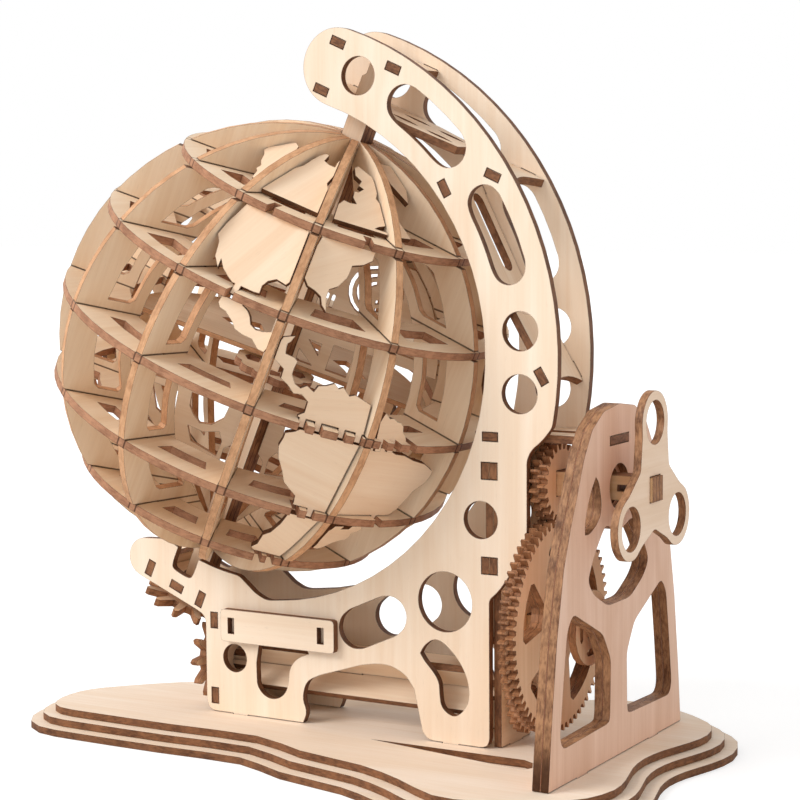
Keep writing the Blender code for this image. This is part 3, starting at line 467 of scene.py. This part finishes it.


# The globe's cage: five rings halved into twelve ribs, all of thin birch. The ribs' outer edges
# are barely scorched, those of the rings are browner, and each joint has a dark line on both
# sides, burnt slot walls with painted shade in the gap, in metres from the middle of the other
# sheet.
CAGE_WOOD = ((245, 222, 194), (230, 199, 165))
RING_EDGE = ((184, 134, 102), (140, 96, 70))
RIB_EDGE = ((220, 170, 128), (184, 134, 96))
GLOBE_RADIUS = 0.089
RING_PLACES = (0.087, 0.064, 0.0348, 0.0, -0.0348, -0.064)
CELL = 30.0
FIRST_RIB = -152.9
SEAM_NEAR, SEAM_FAR, SEAM_FADE = 0.00125, 0.0021, 0.0003
SEAM_DEPTH = 0.85


def ring_radius(s):
    return math.sqrt(GLOBE_RADIUS**2 - s**2)


def burn_and_shade_seams(names, distance):
    """Darkens a line on each side of the joints, laser burn with painted shade, given how far a
    point is from the nearest one.
    """
    for name in names:
        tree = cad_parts[name].data.materials[0].node_tree
        wood_colour = tree.nodes["Principled BSDF"].inputs["Base Color"]
        before = wood_colour.links[0].from_socket
        place = put(tree, "ShaderNodeTexCoord", {}).outputs["Object"]
        centred = put(
            tree, "ShaderNodeVectorMath", {0: place, 1: GLOBE_CENTRE}, operation="SUBTRACT"
        ).outputs[0]
        far = distance(tree, centred, name)
        # The seam is partly the burnt wall of the slot and partly painted shade in the joint's gap.
        inside = reckon(tree, "GREATER_THAN", far, SEAM_NEAR)
        ends = {1: SEAM_FAR - SEAM_FADE, 2: SEAM_FAR, 3: SEAM_DEPTH, 4: 0.0}
        fade = put(tree, "ShaderNodeMapRange", {0: far, **ends})
        seam = reckon(tree, "MULTIPLY", inside, fade.outputs[0])
        tree.links.new(blended(tree, seam, before, paint(BURN_AND_SHADE_BROWN)), wood_colour)


def along(tree, point, way):
    feeds = {0: point, 1: way}
    return put(tree, "ShaderNodeVectorMath", feeds, operation="DOT_PRODUCT").outputs["Value"]


def from_rib(tree, point, ring):
    """How far a point of a ring is from the middle of the nearest rib."""
    turned = reckon(tree, "ARCTAN2", along(tree, point, ALONG_Y), along(tree, point, EAST))
    cell = math.radians(CELL)
    past_rib = reckon(tree, "SUBTRACT", turned, math.radians(FIRST_RIB) - cell / 2)
    wrapped = reckon(tree, "FLOORED_MODULO", past_rib, cell)
    off = reckon(tree, "ABSOLUTE", reckon(tree, "SUBTRACT", wrapped, cell / 2))
    return reckon(tree, "MULTIPLY", off, ring_radius(RING_PLACES[1 + ring_names.index(ring)]))


def from_ring(tree, point, rib):
    """How far a point of a rib is from the middle of the nearest ring."""
    height = along(tree, point, AXIS)
    nearest = None
    for s in RING_PLACES[1:]:
        far = reckon(tree, "ABSOLUTE", reckon(tree, "SUBTRACT", height, s))
        nearest = far if nearest is None else reckon(tree, "MINIMUM", nearest, far)
    return nearest


ring_names = ["ring_arctic", "ring_north", "ring_equator", "ring_south", "ring_antarctic"]
rib_names = [f"rib_{i:02d}" for i in range(1, 13)]
dress(ring_names, ALONG_Y, CAGE_WOOD, RING_EDGE)
dress(rib_names, AXIS, CAGE_WOOD, RIB_EDGE)
burn_and_shade_seams(ring_names, from_rib)
burn_and_shade_seams(rib_names, from_ring)


# The core of the globe, half hidden by the cage: a lobed hub round the post, half a floor
# under the equator, and pierced panels that run from the post to two of the ribs, of 2 mm
# birch. The upper one holds a fan of arcs and an arcade, the lower ones two round windows.
CORE_PLY = 2.0
CORE_LONGITUDE = math.radians(27.1)
CORE_REACH = 61.9
core_out = EAST * math.cos(CORE_LONGITUDE) + ALONG_Y * math.sin(CORE_LONGITUDE)
core_back = AXIS.cross(core_out)


def sector(x, y, inner, outer, start, end, steps=9):
    """Slot that follows an arc."""
    turns = [math.radians(start + (end - start) * i / steps) for i in range(steps + 1)]
    near = [(x + inner * math.cos(t), y + inner * math.sin(t)) for t in turns]
    return near + [(x + outer * math.cos(t), y + outer * math.sin(t)) for t in reversed(turns)]


def reach_at(s):
    return (math.sqrt(CORE_REACH**2 - s**2), s)


def core_piece(name, outline, holes, thick, origin, across, up, edge):
    piece = pierced(name, outline, holes, thick)
    lay(piece, origin, across, up)
    clad(piece, across, CAGE_WOOD, edge)
    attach(piece, "globe")


hub = []
for i in range(48):
    t = math.tau * i / 48
    r = 16.4 - 1.5 * math.cos(6 * t) ** 4
    hub.append((r * math.cos(t), r * math.sin(t)))
hub_holes = [
    [(9.6 * math.cos(t + d) * k, 9.6 * math.sin(t + d) * k) for d, k in
     ((-0.42, 0.75), (-0.33, 1.22), (0.0, 1.32), (0.33, 1.22), (0.42, 0.75))]
    for t in (0.0, math.pi / 2, math.pi, -math.pi / 2)
]
hub_place = GLOBE_CENTRE - AXIS * 0.010
core_piece("core_hub", hub, hub_holes, PLY, hub_place, core_out, core_back, RING_EDGE)

floor_turns = [math.radians(180 * i / 30) for i in range(31)]
half_floor = [(CORE_REACH * math.cos(t), CORE_REACH * math.sin(t)) for t in floor_turns]
half_floor += [(-5.2, 0), (-5.2, 7.5), (7.5, 7.5), (7.5, 0)]
floor_holes = [sector(0, 0, 30, 38, 20 + 45 * i, 48 + 45 * i) for i in range(3)]
floor_place = GLOBE_CENTRE - AXIS * 0.0055
core_piece(
    "core_floor", half_floor, floor_holes, CORE_PLY, floor_place, core_out, core_back, RIB_EDGE
)

fan = [sector(27.4, 34.0, r, r + 1.5, a, a + 150) for r in (3.0, 6.2, 9.4) for a in (-75, 105)]
arcade = [stadium(20.5, 27.0, x, 0.65, 4) for x in (7.4, 9.9, 12.4)]
arcade = [[(y, x) for x, y in slot] for slot in arcade]
upper = [(4.9, -4.4), (32.5, -4.4), (32.5, 9.5)]
upper += [reach_at(s) for s in (9.5, 16, 23, 30, 37, 43, 48)] + [(4.9, 48)]
upper_holes = fan + arcade + [
    [(6.6, -2.8), (13.4, -2.8), (6.6, 2.2)],
    [(8.8, 7.0), (14.4, 7.0), (14.4, 1.9)],
    [(19.0, -2.6), (27.6, -2.6), (27.6, 8.4), (19.0, 8.4)],
    [(42.0, 14.0), (54.5, 14.0), (50.5, 27.0), (43.5, 27.0)],
    [(7.0, 33.0), (13.5, 33.0), (13.5, 45.0), (7.0, 45.0)],
]
core_piece("core_fan_panel", upper, upper_holes, CORE_PLY, GLOBE_CENTRE, core_out, AXIS, RIB_EDGE)
lower = [(5.2, -29.0)] + [reach_at(s) for s in (-29, -36, -43, -50)] + [(23.0, -57.0), (8.4, -57.0)]
lower += [(8.4, -48.0), (5.2, -45.0)]
windows = [
    [(11.8, -30.4), (27.6, -30.4), (26.8, -36.0), (24.4, -38.9), (20.8, -41.4), (16.1, -40.4),
     (12.4, -36.2)],
    [(12.2, -42.0), (18.5, -44.5), (25.1, -43.9), (21.9, -49.8), (10.4, -52.1), (10.0, -45.6)],
    [(33.0, -32.0), (44.0, -32.0), (39.0, -42.0), (31.0, -46.0)],
]
for name, way in (("core_panel_west", -1), ("core_panel_east", 1)):
    turned_holes = [[(way * x, s) for x, s in window] for window in windows]
    turned_panel = [(way * x, s) for x, s in lower]
    core_piece(
        name, turned_panel, turned_holes, CORE_PLY, GLOBE_CENTRE, core_out, AXIS, RIB_EDGE
    )


# Land of the near side: thin sheets cut to the coast, with tabs through the rings.
LAND_WOOD = ((250, 224, 195), (240, 207, 174))
LAND_EDGE = ((112, 74, 48), (72, 44, 27))
land_names = ["canada_west", "canada_east", "america_west", "america_east", "patagonia"]
land_names += ["south_america_north", "south_america_west", "south_america_east"]
dress(land_names, ALONG_Y, LAND_WOOD, LAND_EDGE)


# The rest of the land: cut the same way, one sheet for each cell that a coast runs through.
# Each is a flat outline in degrees, cut to its cell and laid on the cell's slope.
PRIME = 32.0
LAND_SHEET = 0.002
CLEAR = 0.0018
LEAST_LAND = 1.2e-5
HALF_CELL = math.radians(CELL / 2)


def flat_coast(name, coast):
    """Flat outline of a coast, from degrees east and north, laid out in the world's X and Y."""
    points = [(east, math.degrees(math.sin(math.radians(north)))) for east, north in coast]
    sheet = flat_sheet(name, points)
    bpy.ops.object.mode_set(mode="EDIT")
    bpy.ops.mesh.select_all(action="SELECT")
    bpy.ops.mesh.quads_convert_to_tris(quad_method="BEAUTY", ngon_method="BEAUTY")
    bpy.ops.object.mode_set(mode="OBJECT")
    return sheet


def cut_off(point, normal):
    """Cuts away what lies on the normal's side, in edit mode with all selected."""
    bpy.ops.mesh.select_all(action="SELECT")
    bpy.ops.mesh.bisect(plane_co=point, plane_no=normal, use_fill=False, clear_outer=True)


def slope_of(band):
    """Half widths at the foot and head of a band's cells, their run and their rise."""
    top, base = RING_PLACES[band], RING_PLACES[band + 1]
    low_half, high_half = (ring_radius(s) * math.sin(HALF_CELL) for s in (base, top))
    return low_half, high_half, (high_half - low_half) / math.tan(HALF_CELL), top - base


def lay_on_cell(sheet, column, band):
    """Gives a flat outline its thickness and lays it on a cell's slope, as land."""
    low_half, high_half, run, rise = slope_of(band)
    height = math.hypot(run, rise)
    thicken(sheet, LAND_SHEET)
    angle = math.radians(FIRST_RIB + (column + 0.5) * CELL)
    out = EAST * math.cos(angle) + ALONG_Y * math.sin(angle)
    across = AXIS.cross(out)
    north = AXIS * (rise / height) + out * (run / height)
    foot = GLOBE_CENTRE + out * (low_half / math.tan(HALF_CELL)) + AXIS * RING_PLACES[band + 1]
    lay(sheet, foot - across.cross(north) * LAND_SHEET, across, north)
    clad(sheet, ALONG_Y, LAND_WOOD, LAND_EDGE)
    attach(sheet, "globe")


def cell_sheet(name, coast_sheet, column, band):
    """The part of a coast's outline in one cell, as a thin sheet on the cell's slope."""
    top, base = RING_PLACES[band], RING_PLACES[band + 1]
    west = FIRST_RIB - PRIME + CELL * column
    high, low = (math.degrees(s / GLOBE_RADIUS) for s in (top, base))
    middle = west + CELL / 2
    xs = [v.co.x for v in coast_sheet.data.vertices]
    ys = [v.co.y for v in coast_sheet.data.vertices]
    if min(xs) > west + CELL or max(xs) < west or min(ys) > high or max(ys) < low:
        return
    deselected()
    sheet = coast_sheet.copy()
    sheet.data = coast_sheet.data.copy()
    sheet.name = name
    bpy.context.collection.objects.link(sheet)
    bpy.context.view_layer.objects.active = sheet
    sheet.select_set(True)
    bpy.ops.object.mode_set(mode="EDIT")
    cut_off((west + CELL, 0, 0), (1, 0, 0))
    cut_off((west, 0, 0), (-1, 0, 0))
    cut_off((0, high, 0), (0, 1, 0))
    cut_off((0, low, 0), (0, -1, 0))
    bpy.ops.object.mode_set(mode="OBJECT")
    low_half, high_half, run, rise = slope_of(band)
    height = math.hypot(run, rise)
    for vertex in sheet.data.vertices:
        share = (vertex.co.y - low) / (high - low)
        half = low_half + (high_half - low_half) * share
        vertex.co = (half * (vertex.co.x - middle) / (CELL / 2), share * height, 0.0)
    lean_in, lean_up = -run / height, rise / height
    shallow, deep = LAND_SHEET / 2, LAND_SHEET * 1.5
    faces = (-shallow * lean_in, -deep * lean_in)
    bottom = (CLEAR - min(faces)) / lean_up
    ceiling = (rise - CLEAR - max(faces)) / lean_up
    side = (CLEAR + deep * lean_up * math.sin(HALF_CELL)) / math.cos(HALF_CELL)
    slope = Vector((height, low_half - high_half, 0)).normalized()
    bpy.ops.object.mode_set(mode="EDIT")
    cut_off((0, ceiling, 0), (0, 1, 0))
    cut_off((0, bottom, 0), (0, -1, 0))
    cut_off((low_half - side, 0, 0), slope)
    cut_off((side - low_half, 0, 0), (-slope.x, slope.y, 0))
    bpy.ops.object.mode_set(mode="OBJECT")
    if sum(face.area for face in sheet.data.polygons) < LEAST_LAND:
        bpy.data.objects.remove(sheet, do_unlink=True)
        return
    bpy.ops.object.mode_set(mode="EDIT")
    bpy.ops.mesh.select_all(action="SELECT")
    bpy.ops.mesh.remove_doubles(threshold=0.00005)
    bpy.ops.mesh.dissolve_limited(angle_limit=math.radians(1.0))
    bpy.ops.mesh.normals_make_consistent(inside=False)
    bpy.ops.object.mode_set(mode="OBJECT")
    lay_on_cell(sheet, column, band)


near_coasts = (
    ("alaska", 1, 0, (
        (7, 11.5), (4.5, 15.5), (2.5, 16.5), (2, 19), (-1, 21), (-4, 24.5), (-7, 26.5),
        (-7.5, 29), (-6, 32), (-5, 34.5), (-4, 37), (-3, 38.5), (0, 37.5), (4.5, 31), (8.6, 20),
        (10.5, 12.5),
    )),
    ("mexico", 2, 2, (
        (-3, 33), (-3.3, 30.5), (-2, 29), (0.5, 28.6), (4.5, 26), (6.2, 24.2), (9.5, 23.5),
        (13.5, 23.5), (17, 21), (19.5, 21), (20.6, 24.5), (20.0, 29), (16.5, 27.5), (13.5, 27),
        (11, 28), (9.6, 30.5), (8, 32), (5.5, 33), (5.5, 37), (1.5, 37), (1.5, 33.4), (-1, 33.4),
    )),
    ("guiana", 4, 2, (
        (-18.9, 8), (-17, 11.5), (-14.5, 9.5), (-12.6, 9.7), (-10.5, 8.5), (-8.6, 8.2),
        (-7, 7), (-6.4, 4.6), (-5, 3.5), (-3.8, 1.2), (-2, 0), (-2.2, -3), (-4.8, -3),
        (-5, -0.3), (-9.6, -0.3), (-9.6, -3), (-12.4, -3), (-12.4, -0.3), (-15.8, -0.3),
        (-15.8, -3), (-18.4, -3), (-18.9, 0),
    )),
    ("la_plata", 4, 4, (
        (-12.5, 25.5), (-12.5, 28), (-8, 28), (-8, 25.7), (-4, 25.9), (-4, 28.2), (1, 28.2),
        (2.5, 26), (1.8, 24), (0, 22.5), (1.2, 20), (1, 17.5), (-1.4, 16.6), (-3.5, 15),
        (-4.6, 12.8), (-5.5, 11.5), (-7, 10), (-10, 10.5), (-10.4, 14), (-11.5, 17.5), (-13, 24.5),
    )),
)
for land, column, band, coast in near_coasts:
    lay_on_cell(flat_sheet(f"land_{land}", [(u / 1000, v / 1000) for u, v in coast]), column, band)

coasts = {
    "africa": (
        (-17, 15), (-16, 21), (-13, 27), (-9, 31), (-6, 35.5), (0, 36), (10, 37), (11, 33.5),
        (15, 32), (20, 31), (25, 31.5), (32, 31), (34, 27.5), (37, 21), (39, 15.5), (43, 11.5),
        (51, 11.5), (48, 5), (42, -1.5), (39, -6), (40.5, -14), (36, -18), (35, -24),
        (32.5, -27), (30, -31.5), (26, -34), (20, -34.8), (18, -32), (15, -26), (12, -17),
        (13.5, -10), (12, -5), (9, 0), (9, 4), (5, 6), (0, 5.5), (-5, 5), (-9, 4.5),
        (-13, 8.5), (-16.5, 12),
    ),
    "eurasia": (
        (-9, 37), (-9, 43), (-2, 43.5), (-1.5, 46.5), (-4.5, 48.5), (1, 50), (4, 52.5),
        (8, 54), (8.5, 57), (10.5, 57.5), (11, 54), (14, 54.5), (19, 54.8), (21, 57),
        (24, 59), (29, 60), (22.5, 60.5), (21.5, 63), (25, 65.5), (22, 65.5), (18, 62),
        (17, 60), (16, 56.5), (13, 55.5), (11, 59), (6, 58.5), (5, 61), (10, 64), (15, 68.5),
        (20, 70), (26, 71), (31, 70), (41, 67), (33, 66.5), (38, 64.5), (44, 68), (54, 68.5),
        (60, 69), (67, 68.5), (70, 73), (73, 71.5), (80, 73), (90, 75.5), (100, 76.5),
        (105, 77.5), (113, 74), (125, 73), (130, 71.5), (140, 72.5), (152, 71), (160, 69.7),
        (170, 69.5), (180, 68.8), (190, 66), (186, 64.5), (179, 62.5), (170, 60), (163, 59),
        (163, 56), (157, 51), (156, 57), (163, 61.5), (155, 59.5), (143, 59.3), (136, 54.5),
        (141, 52.5), (140, 48.5), (135, 43.5), (130, 42.5), (127.5, 39.5), (129.3, 36),
        (126.5, 34.5), (126.5, 37.5), (122, 40), (118, 38.8), (122.5, 37), (119.5, 35),
        (122, 31), (120, 26.5), (115, 22.5), (110, 21.3), (106.5, 20), (109, 14),
        (107, 10.5), (105, 8.8), (103, 11), (100.5, 13.5), (99.5, 10), (103.5, 4),
        (103.5, 1.3), (100.5, 5.5), (98.3, 9), (97.5, 16), (94.5, 16), (91, 22.5), (87, 21),
        (80.3, 15), (80, 10.5), (77.5, 8), (73, 17), (72.5, 21), (67, 24.5), (57, 25.7),
        (51, 28.5), (48, 30), (51, 25), (56, 24.5), (59.5, 22.5), (55, 17), (45, 12.8),
        (43, 14), (39, 21.5), (35, 28), (34.5, 31.5), (36, 36.5), (28, 36.5), (26.5, 40),
        (29, 41.2), (35, 42), (41.5, 41.5), (37, 45), (35, 46), (31, 46.5), (28, 43),
        (28, 41), (24, 40.5), (23, 37), (19.5, 41), (13, 45.5), (12.5, 43.5), (18, 40),
        (16, 38), (12.5, 41.5), (8.5, 44.3), (3.5, 43.3), (0, 40), (-2, 37), (-5.5, 36),
    ),
    "britain": (
        (-5, 50), (1, 51), (0, 53.5), (-2, 56), (-3, 58.5), (-6, 57), (-3, 54), (-5, 52),
    ),
    "japan": (
        (130.5, 31.5), (135.5, 33.8), (140.5, 35.5), (141.5, 39), (145, 43.5), (141.8, 45.3),
        (140, 42), (138.5, 37), (133, 35.5), (130, 33.5),
    ),
    "borneo": ((109, 1.5), (111, -3), (116, -4), (119, 1), (117, 6.8), (113, 3.5)),
    "sumatra": ((95.5, 5.5), (100, 2.5), (106, -3), (105, -5.8), (101, -3)),
    "new_guinea": (
        (131, -1), (137, -1.7), (144, -4), (150.5, -10.5), (146, -8.5), (141, -9), (138, -8),
        (133, -4),
    ),
    "madagascar": ((44, -23), (47, -25), (50, -16), (49, -12), (44.5, -17)),
    "australia": (
        (114, -22), (113.5, -26), (115.5, -34), (118, -35), (124, -33.5), (131, -31.5),
        (136, -35), (138, -33.5), (140.5, -38), (146.5, -39), (150, -37), (153.5, -29),
        (151, -24), (146, -19), (143, -11.5), (140.5, -17.5), (136, -15), (136.5, -12),
        (131, -11.5), (129, -15), (125, -14), (122, -18),
    ),
    "labrador": ((-65, 46), (-60, 46.5), (-53, 47), (-56, 52), (-61, 57), (-65, 60)),
    "greenland": (
        (-45, 60), (-53, 66), (-55, 70), (-60, 76), (-68, 77), (-60, 82), (-33, 83.5),
        (-20, 80), (-20, 74), (-25, 70.5), (-38, 65.5),
    ),
}
near_cells = ((1, 0), (2, 0), (3, 0), (2, 1), (3, 1), (2, 2), (3, 2), (4, 2), (3, 3), (4, 3))
near_cells += ((3, 4), (4, 4))
for land, coast in coasts.items():
    for wrap in (0.0, -360.0):
        flat = flat_coast(f"coast_{land}", [(east + wrap, north) for east, north in coast])
        for column in range(12):
            for band in range(5):
                if (column, band) not in near_cells:
                    cell_sheet(f"land_{land}_{column}_{band}", flat, column, band)
        bpy.data.objects.remove(flat, do_unlink=True)


# The floor and the light: a plain pale floor in a bright room, a large soft lamp from the
# front left, and the camera where the photograph was taken from.
FLOOR_SIZE = 12.0
UNDER_BASE = 0.0002
ROOM, WHITE = 0.75, 1.0
LAMP_ENERGY, LAMP_ANGLE = 2.05, math.radians(32)
LAMP_FROM = Vector((-0.60, -0.66, 0.70))
deselected()
bpy.ops.mesh.primitive_plane_add(size=FLOOR_SIZE, location=(0, 0, -UNDER_BASE))
floor = bpy.context.object
floor.name = "floor"
paper = bpy.data.materials.new("pale_floor")
paper.use_nodes = True
tree = paper.node_tree
tree.nodes.clear()
shaded = put(tree, "ShaderNodeBsdfDiffuse", {"Color": (0.62, 0.62, 0.62, 1.0)}).outputs[0]
glow = put(tree, "ShaderNodeEmission", {"Color": (1, 1, 1, 1), "Strength": 0.55}).outputs[0]
both = put(tree, "ShaderNodeAddShader", {0: shaded, 1: glow}).outputs[0]
plain = put(tree, "ShaderNodeBsdfDiffuse", {"Color": (0.75, 0.74, 0.72, 1.0)}).outputs[0]
seen = put(tree, "ShaderNodeLightPath", {}).outputs["Is Camera Ray"]
shown = put(tree, "ShaderNodeMixShader", {0: seen, 1: plain, 2: both}).outputs[0]
put(tree, "ShaderNodeOutputMaterial", {"Surface": shown})
floor.data.materials.append(paper)

world = bpy.data.worlds.new("bright_room")
bpy.context.scene.world = world
world.use_nodes = True
tree = world.node_tree
tree.nodes.clear()
path = put(tree, "ShaderNodeLightPath", {}).outputs
sharp = reckon(tree, "MAXIMUM", path["Is Glossy Ray"], path["Is Transmission Ray"])
shown = reckon(tree, "MAXIMUM", path["Is Camera Ray"], sharp)
strength = put(tree, "ShaderNodeMapRange", {0: shown, 3: ROOM, 4: WHITE})
room = put(tree, "ShaderNodeBackground", {"Color": (1, 1, 1, 1), "Strength": strength.outputs[0]})
put(tree, "ShaderNodeOutputWorld", {"Surface": room.outputs[0]})

key = bpy.data.lights.new("key_lamp", "SUN")
key.energy = LAMP_ENERGY
key.angle = LAMP_ANGLE
key_lamp = bpy.data.objects.new("key_lamp", key)
key_lamp.rotation_euler = LAMP_FROM.to_track_quat("Z", "Y").to_euler()
bpy.context.scene.collection.objects.link(key_lamp)

FOCAL_LENGTH = 96.57
CAMERA_PLACE = Vector((0.4291, -0.7080, 0.2160))
AZIMUTH, ELEVATION, ROLL = math.radians(30.08), math.radians(5.57), math.radians(-0.40)
level = Vector((math.sin(AZIMUTH), -math.cos(AZIMUTH), 0))
back = level * math.cos(ELEVATION) + ALONG_Z * math.sin(ELEVATION)
right = Vector((math.cos(AZIMUTH), math.sin(AZIMUTH), 0))
upward = back.cross(right)
rolled_right = right * math.cos(ROLL) + upward * math.sin(ROLL)
rolled_up = upward * math.cos(ROLL) - right * math.sin(ROLL)
lens = bpy.data.cameras.new("camera")
lens.sensor_width = 36.0
lens.lens = FOCAL_LENGTH
lens.clip_start, lens.clip_end = 0.01, 50.0
camera = bpy.data.objects.new("camera", lens)
camera.matrix_world = Matrix((rolled_right, rolled_up, back)).transposed().to_4x4()
camera.location = CAMERA_PLACE
bpy.context.scene.collection.objects.link(camera)
bpy.context.scene.camera = camera
bpy.context.scene.view_settings.view_transform = "Standard"
